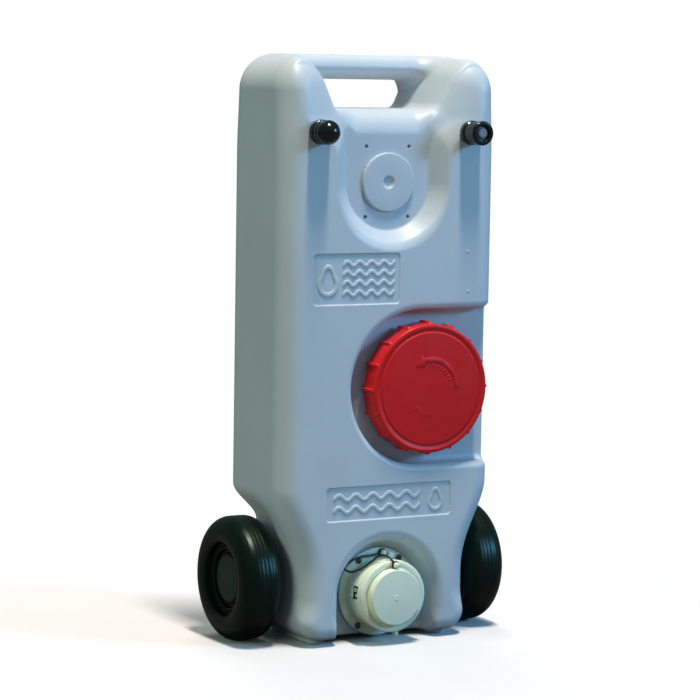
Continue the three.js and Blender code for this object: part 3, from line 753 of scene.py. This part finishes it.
def belongs_to(piece, node, look=None):
    """An extra detail that moves with a CAD node."""
    dress(piece, SLOT_OF[node], look)
    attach(piece, BODY_OF[node])
    return piece


# ---------------------------------------------------------------- the pieces


def field_disc():
    """The raised disc in the sunken field, with a dimple in its middle."""
    floor = -FIELD["depth"]
    top = floor + DISC["height"]
    radius, dimple = DISC["radius"], DISC["dimple"]
    corners = [
        (0, floor - 1),
        (radius + 0.6, floor - 1),
        (radius, top, 1.3),
        (dimple, top, 0.6),
        (dimple - 3.4, top - 2.6, 1.4),
        (0, top - 3.0),
    ]
    return on_front("field_disc", corners, (0, FIELD["z"]), 128)


def fill_neck():
    """The threaded neck under the screw cap."""
    back = -RECESS["depth"]
    rim = ahead("cap_gasket")[0] - 0.3
    outer, bore, crest, pitch = 71.4, 62, 2.6, 6.0
    first, turns = -18, 1.5  # where the thread begins, and how far round it goes
    profile = [
        (bore, back - 1),
        (outer + 5, back - 1),
        (outer + 5, back + 1.5, 1),
        (outer, back + 3, 1.5),
        *[(outer, height) for height in np.arange(back + 4, rim - 1.5, 0.5)],
        (outer - 0.5, rim, 0.6),
        (bore, rim, 1),
    ]

    def thread(angle, radius, height):
        """How far the thread, which climbs one pitch a turn, stands out from the neck."""
        if abs(radius - outer) > 0.1:
            return 0
        reach = 0
        for lap in range(2):
            turned_by = angle + 2 * math.pi * lap
            if turned_by > 2 * math.pi * turns:
                continue
            away = abs(height - first - pitch * turned_by / (2 * math.pi))
            reach = max(reach, crest * float(1 - smooth(away, 0.5, 1.3)))
        return reach

    return on_front("fill_neck", profile, FILL, 160, thread)


def rib_angles(ribs, offsets, gap_steps, radius):
    """Angles round a ribbed piece: close together over each rib, wide apart between ribs."""
    angles = []
    pitch = 2 * math.pi / ribs
    edge = offsets[-1] / radius
    for i in range(ribs):
        centre = i * pitch
        angles += [centre + offset / radius for offset in offsets]
        gap = np.linspace(centre + edge, centre + pitch - edge, gap_steps + 2)[1:-1]
        angles += list(gap)
    return angles


CAP_FACE = 9  # the screw cap's disc, in front of the tank's face


def red_cap():
    """The wide screw cap: a ribbed skirt, a rounded shoulder and a plain disc."""
    back, face = ahead("screw_cap")[0], CAP_FACE
    ribs, rib_height = 16, 2.2
    skirt, disc = 79.6, 69.0
    ceiling = face - 6.4
    corners = [
        (0, ceiling),
        (75.2, ceiling, 2),
        (75.2, back + 0.8, 0.5),
        (76, back, 0.3),
        (skirt - 0.4, back, 0.5),
        *[(skirt, mix(back + 1, face - 6, share)) for share in (0, 0.25, 0.5, 0.75, 1)],
        *[(skirt, face - drop) for drop in (5.4, 4.8, 4.2, 3.6)],
        (skirt - 0.1, face - 0.4, 2.8),
        (skirt - 4, face - 0.1, 1.5),
        (disc + 1.6, face - 1.3, 0.6),
        (disc, face, 1.2),
        (0, face),
    ]
    offsets = [-3.5, -2.8, -2.2, -1.7, -1.2, -0.7, -0.25, 0.25, 0.7, 1.2, 1.7, 2.2, 2.8, 3.5]

    def rib(angle, radius, height):
        if radius < skirt - 2.4:
            return 0
        spacing = 2 * math.pi / ribs
        away = abs((angle / spacing + 0.5) % 1 - 0.5) * spacing * skirt
        ridge = rib_height * (1 - smooth(away, 0.6, 3.0)) + 0.9 * (1 - smooth(away, 1, 9))
        return float(ridge * (1 - smooth(height, face - 4.4, face - 1.6)))

    angles = rib_angles(ribs, offsets, 6, skirt)
    return on_front("red_cap", corners, FILL, angles, rib)


CAP_DASHES = [  # name, first and last angle, count, outer and inner radius, half a dash in degrees
    ("cap_dash", 22, 96, 9, 31, 26.5, 1.4),
    ("cap_low_dash", 228, 268, 5, 34, 29.5, 1.6),
]


def cap_marks():
    """A curved arrow for the way it unscrews, and rows of dashes inside it and below it."""
    foot = CAP_FACE - 0.3
    arrow = arc(39, 2, 106, 40) + arc(43.4, 107, 107, 0) + arc(36.2, 129, 129, 0)
    arrow += arc(29, 107, 107, 0) + arc(33.4, 106, 2, 40)
    made = [prism("cap_arrow", arrow, foot, 1.0, FILL, 0.35)]
    for name, first, last, count, outer, inner, half in CAP_DASHES:
        for i, middle in enumerate(np.linspace(first, last, count)):
            dash = sector(outer, inner, middle - half, middle + half, 1)
            made.append(prism(f"{name}_{i + 1}", dash, foot, 0.8, FILL, 0.25))
    return made


FLANGE_FACE = -ARCH["depth"] + 5.6  # the outlet flange's face, from the front plane


def flange_plate():
    """The outlet's flange with the spout that the drain cap locks on."""
    back = -ARCH["depth"] + 1.6
    spout_end = ahead("drain_cap_seal")[0] - 0.3
    corners = [
        (33, back - 9), (36, back - 9), (36, back, 1), (54.8, back, 0.4), (54.8, FLANGE_FACE, 1.2),
        (46.5, FLANGE_FACE, 0.5), (45.8, FLANGE_FACE - 0.6, 0.4), (42.5, FLANGE_FACE - 0.6, 1.0),
        (40, FLANGE_FACE + 2, 2), (40, spout_end, 0.8), (33, spout_end, 0.8),
    ]
    return on_front("flange_plate", corners, DRAIN, 128)


LUG_ANGLES = (54, 174, 294)
LUG_PAIR = [  # name, degrees before a lug angle from and to, foot, height
    ("low", 8, 1, -13, 6),
    ("high", -2, -7, -8.5, 5),
]


def bayonet_lugs():
    """Pairs of lugs on the spout, seen through the windows in the drain cap's skirt."""
    lugs = []
    for i, middle in enumerate(LUG_ANGLES):
        for place, start, end, base, height in LUG_PAIR:
            outline = sector(41, 39, middle - start, middle - end, 6)
            lugs.append(prism(f"bayonet_lug_{place}_{i + 1}", outline, base, height, DRAIN, 0.5))
    return lugs


def outlet_stop():
    """The small block on the flange, just behind the drain cap's rim, that stops its turn."""
    outline = sector(51, 44.2, 68.5, 77, 3)
    return prism("outlet_stop", outline, FLANGE_FACE - 0.5, 7.6, DRAIN, 0.8)


def spout_seal():
    """The dark seal round the spout, which shows behind the lugs."""
    corners = [(39.6, -15), (40.6, -15, 0.4), (40.6, -1, 0.4), (39.6, -1)]
    return on_front("spout_seal", corners, DRAIN, 128)


def window_cutter(middle):
    """A short sector round the skirt, to cut a lug's window."""
    outline = sector(48, 38, middle - 11, middle + 11, 10)
    return prism("window_cutter", outline, -13.8, 12, DRAIN, 0.5)


def cut_away(piece, cutter):
    """Takes the cutter's shape out of a piece, and removes the cutter."""
    modifier = piece.modifiers.new("cut", "BOOLEAN")
    modifier.operation = "DIFFERENCE"
    modifier.solver = "EXACT"
    modifier.object = cutter
    bpy.context.view_layer.update()
    evaluated = piece.evaluated_get(bpy.context.evaluated_depsgraph_get())
    mesh = bpy.data.meshes.new_from_object(evaluated)
    piece.modifiers.clear()
    piece.data = mesh
    bpy.data.objects.remove(cutter)
    return smooth_shaded(piece)


def drain_lid():
    """The drain cap: a skirt, a groove, a rounded ring and a raised disc."""
    back, face = -19, 22.5
    corners = [
        (0, 11), (41.2, 11, 1.5), (41.2, back + 0.5, 0.3), (43.4, back, 0.6), (43.4, back + 3, 0.8),
        (42.8, back + 3.6, 0.5), (42.6, 2.2, 0.4), (42.0, 3.0, 0.4), (42.0, 4.6, 0.4),
        (44.8, 5.4, 0.8), (44.8, 14, 2.6), (39.4, 14.3, 1.2), (38.2, 12.2, 0.9), (35.6, 12.0, 0.9),
        (34.6, face, 1.8), (3.0, face, 0.4), (2.3, face + 0.5, 0.3), (1.4, face + 0.2, 0.3),
        (0, face + 0.2),
    ]
    piece = on_front("drain_lid", corners, DRAIN, 144)
    for middle in LUG_ANGLES:
        piece = cut_away(piece, window_cutter(middle))
    return piece


def lid_tab():
    """The finger tab under the drain cap."""
    outline = [(2.6, -40), (10, -40), (8.4, -50.2), (7.6, -51), (6.6, -51), (6, -50.2)]
    return prism("lid_tab", outline, 4, 8, DRAIN, 0.8)


PIN_REACH = 8.2  # how far a pin's ball stands out from the face under it


def pin_profile(foot, face):
    """A pin with a ball head that keeps an eyelet against a face."""
    return [
        (0, foot), (1.4, foot), (1.4, face + 1), (2.6, face + 1.6, 0.6), (3.6, face + 3.2, 1.5),
        (3.75, face + 5, 1.5), (3.2, face + 7, 1.7), (1.4, face + PIN_REACH, 1.4),
        (0, face + PIN_REACH),
    ]


def pan_screw(name, node):
    """A pan-head screw with a cross recess."""
    centre = front_centre(node)
    low, top = ahead(node)
    head = FLANGE_FACE + 0.1
    corners = [
        (0, low + 0.2), (1.9, low + 0.2), (1.9, head), (4.1, head, 0.3),
        (4.1, head + 1.2, 1.0), (2.4, top, 1.6), (0, top),
    ]
    piece = on_front(name, corners, centre, 40)
    for long, wide in ((2.3, 0.55), (0.55, 2.3)):
        outline = [(-long, -wide), (long, -wide), (long, wide), (-long, wide)]
        cutter = prism("recess_cutter", outline, head + 1.1, 4, centre, 0.05)
        piece = cut_away(piece, cutter)
    return piece


CORD_PATH = [  # across and up from the flange pin, and how far in front of the tank's face
    (-2.6, -0.6, -22.6), (-14, -2.0, -20.5), (-34, -3.0, -18.5), (-49, -7.8, -16.5),
    (-57.5, -13.5, -15), (-54, -18.2, -13), (-40, -17, -10), (-27, -9.0, -6), (-16, 0.5, 0),
    (-10, 0.6, 8), (-5.6, -5.6, 15.4),
]


def tether():
    """The cord that keeps the drain cap, from one pin to the other."""
    pin_x, pin_z = front_centre("tether_pin_flange")
    path = [(pin_x + dx, FRONT - out, pin_z + dz) for dx, dz, out in CORD_PATH]
    return tube("tether_line", path, 1.35)


def eyelet(name, node, face):
    """The ring at an end of the cord, pressed under a pin's ball."""
    corners = [(1.7, face + 0.3), (5.2, face + 0.3, 1.2), (5.2, face + 3.1, 1.2), (1.7, face + 3.1)]
    return on_front(name, corners, front_centre(node), 40)


def collar(name, node, centre, shoulder, cone, neck):
    """A fitting screwed into the tank: a round foot with a shoulder, and a neck for its cap."""
    end = ahead(node)[1]
    corners = [
        (5.5, -12), (9, -12), (9, 1.8), (15, 1.8, 0.5), (15, shoulder, 1.2), (cone, 9.4, 0.8),
        (neck, 9.6, 0.3), (neck, end), (5.5, end),
    ]
    return on_front(name, corners, centre)


def vent_dome():
    """The vent's cap: a short cylinder, a notch and a dome."""
    tip = ahead("vent_cap")[1]
    radius = 14.8
    middle = tip - radius
    turns = np.linspace(-0.16, math.pi / 2, 22)
    dome = [(radius * math.cos(turn), middle + radius * math.sin(turn)) for turn in turns]
    dome[-1] = (0, tip)
    profile = rounded([
        (0, middle), (11.5, middle), (11.5, 10), (13.8, 10, 0.6), (14.7, 11, 0.8),
        (14.7, 15.6, 0.9), (13.2, 16.6, 0.6), (13.2, 17.8, 0.6),
        dome[0],
    ])
    origin = np.array([VENT[0], FRONT, VENT[1]])
    return turned("vent_dome", profile + dome[1:], origin, FORWARD, 96)


def inlet_sleeve():
    """The inlet's union ring: fluted along its side, with a rounded end ring and a deep mouth."""
    end = ahead("inlet_ring")[1]
    flutes = 30
    corners = [
        (11.9, 10), (13.6, 10, 0.5), (14.0, 11, 0.4),
        *[(14.0, height) for height in (12.5, 14, 16, 18, 20, 21.5)],
        (13.6, 22.6, 0.4), (14.8, 23.8, 0.7), (14.9, end - 1.5, 1.6), (13.2, end, 1.4),
        (10.2, end, 0.8), (9.4, end - 1.4, 0.6), (9.4, end - 5), (11.9, end - 5),
    ]

    def flute(angle, radius, height):
        if abs(radius - 14.0) > 0.05 or not 12 < height < 22:
            return 0
        return -0.35 * (0.5 + 0.5 * math.cos(angle * flutes)) ** 2

    return on_front("inlet_sleeve", corners, INLET, flutes * 8, flute)


def inlet_button():
    """The grey plug in the mouth of the union ring."""
    end = ahead("inlet_plug")[1]
    corners = [
        (0, end - 7.5), (11.2, end - 7.5), (11.2, end - 4.6), (8, end - 4.6), (8, end - 3, 0.4),
        (6.2, end - 3, 0.4), (6.2, end - 0.6, 0.9), (4.6, end, 0.8), (0, end - 0.2),
    ]
    return on_front("inlet_button", corners, INLET, 64)


SIDES = {-1: "left", 1: "right"}


def on_axle(name, corners, side, angles):
    """A turned piece on the axle, with heights from the wheel's inner face outwards."""
    low, high = box_mm(f"{SIDES[side]}_wheel")
    axle_low, axle_high = box_mm("axle")
    origin = (axle_low + axle_high) / 2
    origin[0] = side * min(abs(low[0]), abs(high[0]))
    axes = sideways(side)
    return turned(f"{SIDES[side]}_{name}", rounded(corners), origin, axes, angles)


WHEEL_WIDTH = 55.0


def tyre_profile():
    """The tread's rounded section with fine moulded ridges, from the inner to the outer side."""
    radius, rounding = 76.8, 19.8
    ridge_pitch, ridge_depth = 5.2, 0.22
    crown, last = radius - rounding, WHEEL_WIDTH - rounding
    section = [(crown + out, rounding + along) for out, along in arc(rounding, -80, 0, 25)]
    section += [(radius, along) for along in np.linspace(rounding, last, 22)[1:-1]]
    section += [(crown + out, last + along) for out, along in arc(rounding, 0, 80, 25)]
    profile = []
    for reach, along in section:
        off_middle = along - WHEEL_WIDTH / 2
        ridge = 0.5 - 0.5 * math.cos(2 * math.pi * off_middle / ridge_pitch)
        fade = 1 - float(smooth(abs(off_middle), 19, 24))
        profile.append((reach - ridge_depth * ridge ** 3 * fade, along))
    return profile


def rolling_wheel(side):
    """A wheel: its tread, a dished outer side with stepped rings, and a hollow inner side."""
    width = WHEEL_WIDTH
    corners = [
        (8.25, 2), (17, 0, 1), (20, 12, 3), (44, 16, 3), (50, 3, 2), (54, 0.4, 1),
        *tyre_profile(),
        (54.5, width, 3), (47.2, width - 0.9, 1.4), (45.2, width - 3.6, 1.4),
        (44.0, width - 12.6, 2), (40.6, width - 13.0, 1.2), (39.4, width - 10.2, 1.0),
        (36.6, width - 10.2, 1.0), (35.2, width - 16.2, 1.4), (31.6, width - 16.6, 1.0),
        (30.8, width - 13.4, 0.6), (24.8, width - 13.4, 0.6), (24, width - 24), (8.25, width - 24),
    ]
    return on_axle("roller", corners, side, 144)


def hub_lid(side):
    """The cap over the end of the axle."""
    face = 42
    corners = [
        (0, face - 4), (20.8, face - 4, 1), (21.4, face - 6), (23.5, face - 6), (23.5, face),
        (29.4, face), (29.4, face + 1.6, 1.0), (27, face + 2.9, 1.5), (17, face + 3.8, 6),
        (0, face + 4.3),
    ]
    return on_axle("hub_lid", corners, side, 96)


def spacer_tube(side):
    """The spacer on the axle between the tank and a wheel."""
    corners = [(6.4, -12.4), (12, -12.4, 0.8), (11, -0.4, 0.8), (6.4, -0.4)]
    return on_axle("spacer_tube", corners, side, 64)


def build_pieces():
    """Makes every visible piece, and gives the CAD nodes that stay visible their finish."""
    stands_for(tank_shell(), "tank_body")
    belongs_to(field_disc(), "tank_body")
    belongs_to(fill_neck(), "tank_body")
    stands_for(red_cap(), "screw_cap")
    for mark in cap_marks():
        belongs_to(mark, "screw_cap")
    stands_for(flange_plate(), "outlet_flange")
    for lug in [*bayonet_lugs(), outlet_stop()]:
        belongs_to(lug, "outlet_flange", LOOKS["ivory"])
    belongs_to(spout_seal(), "outlet_flange", LOOKS["rubber"])
    for i in range(1, 5):
        node = f"flange_screw_{i}"
        stands_for(pan_screw(f"pan_screw_{i}", node), node, SCREW_STEEL)
    stands_for(drain_lid(), "drain_cap")
    belongs_to(lid_tab(), "drain_cap")
    cap_face = ahead("tether_pin_cap")[1] - PIN_REACH
    for place, face in (("flange", FLANGE_FACE), ("cap", cap_face)):
        node = f"tether_pin_{place}"
        profile = pin_profile(ahead(node)[0], face)
        stands_for(on_front(f"{place}_ball_pin", profile, front_centre(node), 40), node)
        ring = dress(eyelet(f"{place}_eyelet", node, face), "cord")
        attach(ring, BODY_OF[node])
    cord = dress(tether(), "cord")
    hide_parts("tether_cord")
    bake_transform(cord)
    stands_for(collar("vent_collar", "vent_fitting", VENT, 7.4, 12.6, 11), "vent_fitting")
    stands_for(vent_dome(), "vent_cap")
    stands_for(collar("inlet_collar", "inlet_fitting", INLET, 7.2, 13.0, 11.4), "inlet_fitting")
    stands_for(inlet_sleeve(), "inlet_ring")
    stands_for(inlet_button(), "inlet_plug")
    for side, word in SIDES.items():
        stands_for(rolling_wheel(side), f"{word}_wheel")
        stands_for(hub_lid(side), f"{word}_hub_cap")
        stands_for(spacer_tube(side), f"{word}_spacer")
    for node, thing in frame["nodes"].items():
        if not thing.hide_render:
            thing.data.materials.clear()
            thing.data.materials.append(LOOKS[SLOT_OF[node]].material)


# ---------------------------------------------------------------- studio

GLINTS = ("overhead", "right")  # the lamps that show as highlights
ROOM_TONE = (0.1, 0.16, 0.155)  # what lights the object, where the camera sees white
LAMPS = [  # name, place, size across and along, watts, colour
    ("overhead", (0, -1.15, 5.4), (0.32, 1.2), 275, (1, 0.9, 0.815)),
    ("right", (3.6, -3.6, 2.2), (1.3, 1.3), 150, (0.2, 0.54, 1)),
    ("left", (-3.05, -0.75, 0.9), (1.4, 1.8), 26, (0.86, 1, 0.8)),
    ("behind", (0.6, 1.6, 2.4), (1.2, 1.2), 24, (1, 0.84, 0.86)),
]


def area_light(name, place, target, size, power, colour):
    data = bpy.data.lights.new(name, "AREA")
    data.shape = "RECTANGLE"
    data.size, data.size_y = size
    data.energy = power
    data.color = colour
    lamp = placed(name, data)
    lamp.location = place
    lamp.rotation_euler = (Vector(target) - Vector(place)).to_track_quat("-Z", "Y").to_euler()
    lamp.visible_glossy = name in GLINTS


def studio():
    """A pale floor that fades into a white room, with a strong light above, a cool one at the
    right and dim ones at the left and behind."""
    world = bpy.data.worlds.new("white_room")
    bpy.context.scene.world = world
    world.use_nodes = True
    tree = world.node_tree
    background = tree.nodes["Background"]
    path = tree.nodes.new("ShaderNodeLightPath")
    tone = tree.nodes.new("ShaderNodeMix")
    tone.data_type = "RGBA"
    tone.inputs[6].default_value = (*ROOM_TONE, 1)
    tone.inputs[7].default_value = (1, 1, 1, 1)
    tree.links.new(path.outputs["Is Camera Ray"], tone.inputs["Factor"])
    tree.links.new(tone.outputs[2], background.inputs["Color"])

    bpy.ops.mesh.primitive_circle_add(vertices=96, radius=40, fill_type="NGON")
    floor = bpy.context.object
    floor.name = "floor"
    floor.data.materials.append(floor_paint())
    for name, place, size, power, colour in LAMPS:
        area_light(name, place, (0, 0, 0.42), size, power, colour)


def floor_paint():
    """Pale paint that the camera sees fade to white away from the object."""
    nodes = Nodes("pale_floor")
    tint = nodes.blended(nodes.ranged(nodes.noise(3, 3), 0, 1), (0.84, 0.84, 0.84), (0.8, 0.8, 0.8))
    path = nodes.add("ShaderNodeLightPath").outputs["Is Camera Ray"]
    seen = nodes.blended(path, (0.12, 0.12, 0.12), tint)
    nodes.join(seen, nodes.shader.inputs["Base Color"])
    nodes.shader.inputs["Roughness"].default_value = 0.9
    nodes.shader.inputs["Specular IOR Level"].default_value = 0.1
    away = nodes.add("ShaderNodeVectorMath", operation="LENGTH")
    nodes.join(nodes.place, away.inputs[0])
    fade = nodes.ranged(away.outputs["Value"], 0, 1, 0.25, 0.9)
    glow = nodes.add("ShaderNodeEmission")
    glow.inputs["Color"].default_value = (1, 1, 1, 1)
    mixed = nodes.add("ShaderNodeMixShader")
    nodes.join(nodes.math("MULTIPLY", fade, path), mixed.inputs[0])
    nodes.join(nodes.shader.outputs[0], mixed.inputs[1])
    nodes.join(glow.outputs[0], mixed.inputs[2])
    nodes.join(mixed.outputs[0], nodes.tree.nodes["Material Output"].inputs["Surface"])
    return nodes.material


CAMERA = {"azimuth": -29.36, "elevation": 5.6, "roll": 0.95, "distance": 3.4595, "height": 0.36}
LENS = 143.03
SHIFT = (-0.0167, -0.0058)


def camera():
    """Stands in front and to the left, almost level with the tank."""
    data = bpy.data.cameras.new("camera")
    data.lens = LENS
    data.sensor_width = 36
    data.shift_x, data.shift_y = SHIFT
    eye = placed("camera", data)
    azimuth, elevation = math.radians(CAMERA["azimuth"]), math.radians(CAMERA["elevation"])
    level = Vector((math.sin(azimuth), -math.cos(azimuth), 0))
    back = level * math.cos(elevation) + Vector((0, 0, math.sin(elevation)))
    target = Vector((0, MIDDLE_Y * MM, CAMERA["height"]))
    roll = Matrix.Rotation(math.radians(CAMERA["roll"]), 4, "Z")
    aim = (-back).to_track_quat("-Z", "Y").to_matrix().to_4x4()
    eye.matrix_world = Matrix.Translation(target + back * CAMERA["distance"]) @ aim @ roll
    bpy.context.scene.camera = eye


build_pieces()
studio()
camera()
bpy.context.scene.view_settings.view_transform = "Standard"
